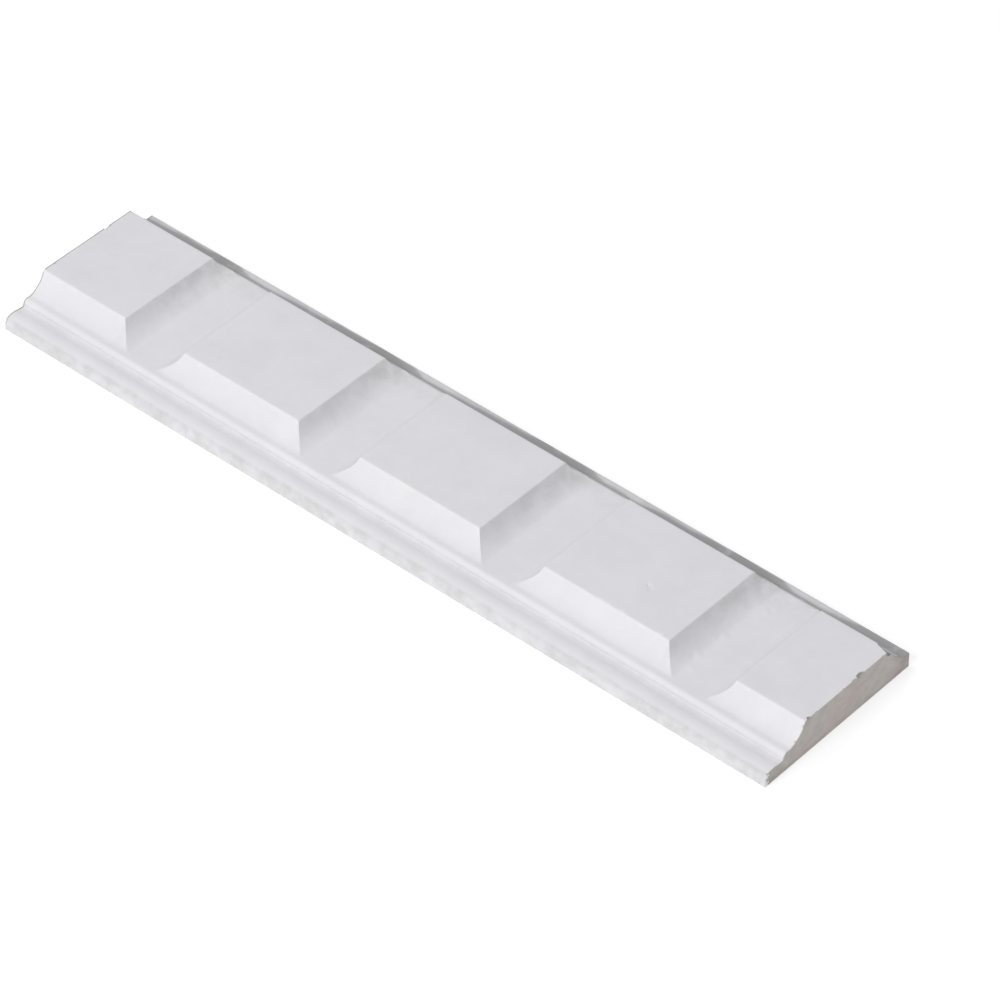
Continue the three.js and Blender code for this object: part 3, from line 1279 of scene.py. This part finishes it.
@dataclass
class ChairRail:
    """The whole rail: its form, its wear and its finishes.

    Args:
        sizes: Sizes of the rail.
        smooth_below: Up to which turn two faces are shaded as one, in degrees.
    """

    sizes: RailSizes = field(default_factory=RailSizes)
    smooth_below: float = 38.0

    def build(self) -> bpy.types.Object:
        """Makes the rail from its section to its finishes.

        Returns:
            The finished piece.
        """
        section = RailSection(self.sizes)
        rail = section.run()
        log.info("section run along the rail: %d faces", len(rail.data.polygons))
        TabletRow(self.sizes).raise_on(rail)
        cells = SurfaceCells(rail, self.sizes)
        cells.divide_across()
        cells.divide_ends(section.outline())
        cells.divide_along(section.stations())
        cells.soften_arrises()
        log.info("tablets raised and faces divided: %d faces", len(rail.data.polygons))
        for material in self.finishes():
            rail.data.materials.append(material)
        wear = Wear(rail, self.sizes)
        wear.share_out()
        wear.press()
        wear.break_out()
        wear.roughen()
        SoilingAndShade(rail, self.sizes).write()
        self._keep_inside(rail)
        make_active(rail)
        bpy.ops.object.shade_smooth_by_angle(angle=math.radians(self.smooth_below))
        log.info("rail worn and finished: %d faces", len(rail.data.polygons))
        return rail

    @staticmethod
    def finishes() -> list[bpy.types.Material]:
        """Makes the rail's materials.

        Returns:
            The materials, in the order of the rail's slots.
        """
        return [
            SatinPaint().make(),
            BareCore("sawn_core").make(),
            BareCore("bare_wall_face", light=(0.52, 0.47, 0.41), dark=(0.43, 0.385, 0.335),
                     layered=(0.06, 1.0, 1.0), depth=0.03).make(),
            BareCore("chipped_core", light=(0.45, 0.43, 0.405), dark=(0.33, 0.315, 0.30),
                     layered=(1.0, 1.0, 1.0), depth=0.09).make(),
        ]

    def _keep_inside(self, rail: bpy.types.Object) -> None:
        """Keeps every vertex inside the rail's stated sizes.

        Args:
            rail: The rail.
        """
        s = self.sizes
        places = vertex_places(rail)
        low = np.array([-s.length / 2, -s.width / 2, 0.0]) * MM
        high = np.array([s.length / 2, s.width / 2, s.thickness]) * MM
        rail.data.vertices.foreach_set("co", np.clip(places, low, high).ravel())
        rail.data.update()


@dataclass(frozen=True)
class SoftLight:
    """A square soft light that faces the rail.

    Args:
        name: Its name.
        azimuth: Its direction, from the front towards the right, in degrees.
        elevation: Its height above the horizon.
        power: Its power, in watts.
        distance: Its distance from the rail, in millimetres.
        size: Its side, in millimetres.
        colour: Its colour.
    """

    name: str
    azimuth: float
    elevation: float
    power: float
    distance: float = 1600.0
    size: float = 700.0
    colour: tuple[float, float, float] = (1.0, 0.995, 0.985)


@dataclass
class Studio:
    """Floor, light and camera of the picture.

    Args:
        target: What the camera looks at, in millimetres.
        azimuth: The camera's direction, from the front towards the right, in degrees.
        elevation: Its height above the horizon.
        distance: Its distance from the target, in millimetres.
        lens: Its focal length, for the frame's width.
        frame_width: Width of that frame, in millimetres.
        sky: Strength of the even light from all round.
        sky_colour: Its colour.
        lights: The soft lights.
        floor_size: Side of the floor, in millimetres.
        floor_drop: How far the floor lies under the wall face.
        floor_colours: Its two colours, which hardly differ.
        floor_glow: How much the floor shines by itself, as a lit white sweep does.
    """

    target: tuple[float, float, float] = (35.46, -14.75, 28.07)
    azimuth: float = 41.225
    elevation: float = 42.149
    distance: float = 1487.6
    lens: float = 191.08
    frame_width: float = 36.0
    sky: float = 0.465
    sky_colour: tuple[float, float, float] = (0.985, 0.985, 1.0)
    lights: tuple[SoftLight, ...] = (
        SoftLight("soft_front_light", 5.0, 42.0, 11.2),
        SoftLight("soft_left_light", -80.0, 62.0, 4.3),
    )
    floor_size: float = 6000.0
    floor_drop: float = 0.05
    floor_colours: tuple[tuple[float, float, float], ...] = (
        (0.56, 0.56, 0.563), (0.55, 0.55, 0.553))
    floor_glow: float = 0.58

    @staticmethod
    def _direction(azimuth: float, elevation: float) -> Vector:
        """Unit vector towards a place around the rail.

        Args:
            azimuth: From the front towards the right, in degrees.
            elevation: Above the horizon.

        Returns:
            The direction.
        """
        a, e = math.radians(azimuth), math.radians(elevation)
        return Vector((math.sin(a) * math.cos(e), -math.cos(a) * math.cos(e), math.sin(e)))

    def set_camera(self) -> None:
        """Sets the camera at the picture's viewpoint."""
        lens = bpy.data.cameras.new("camera")
        lens.lens, lens.sensor_width = self.lens, self.frame_width
        lens.clip_start, lens.clip_end = 0.01, 100.0
        camera = bpy.data.objects.new("camera", lens)
        bpy.context.scene.collection.objects.link(camera)
        towards = self._direction(self.azimuth, self.elevation)
        camera.location = (Vector(self.target) + towards * self.distance) * MM
        camera.rotation_euler = towards.to_track_quat("Z", "Y").to_euler()
        bpy.context.scene.camera = camera

    def set_light(self) -> None:
        """Hangs the soft lights and sets the even light from all round."""
        world = bpy.data.worlds.new("pale_room")
        world.use_nodes = True
        background = world.node_tree.nodes["Background"]
        background.inputs["Color"].default_value = (*self.sky_colour, 1.0)
        background.inputs["Strength"].default_value = self.sky
        bpy.context.scene.world = world
        for soft in self.lights:
            lamp = bpy.data.lights.new(soft.name, "AREA")
            lamp.shape, lamp.size, lamp.energy = "SQUARE", soft.size * MM, soft.power
            lamp.color = soft.colour
            light = bpy.data.objects.new(soft.name, lamp)
            bpy.context.scene.collection.objects.link(light)
            towards = self._direction(soft.azimuth, soft.elevation)
            light.location = towards * soft.distance * MM
            light.rotation_euler = towards.to_track_quat("Z", "Y").to_euler()
        bpy.context.scene.view_settings.view_transform = "Standard"

    def lay_floor(self) -> bpy.types.Object:
        """Lays the plain pale floor.

        Returns:
            The floor.
        """
        deselect_everything()
        place = (0.0, 0.0, -self.floor_drop * MM)
        bpy.ops.mesh.primitive_plane_add(size=self.floor_size * MM, location=place)
        floor = bpy.context.object
        floor.name = "floor"
        bpy.ops.object.transform_apply(location=True, rotation=True, scale=True)
        r = Recipe("pale_floor")
        r.colour(r.blend(r.cloud(2.0), *self.floor_colours))
        r.shader.inputs["Roughness"].default_value = 0.9
        r.shader.inputs["Emission Color"].default_value = (1.0, 1.0, 1.0, 1.0)
        r.shader.inputs["Emission Strength"].default_value = self.floor_glow
        floor.data.materials.append(r.material)
        return floor


def main() -> None:
    """Builds the rail and its setting; the build logs its progress."""
    logging.basicConfig(level=logging.INFO, format="%(name)s: %(message)s")
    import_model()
    rail = ChairRail().build()
    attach(rail, "root")
    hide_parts("chair_rail")
    studio = Studio()
    studio.set_camera()
    studio.set_light()
    studio.lay_floor()


if __name__ == "__main__":
    main()
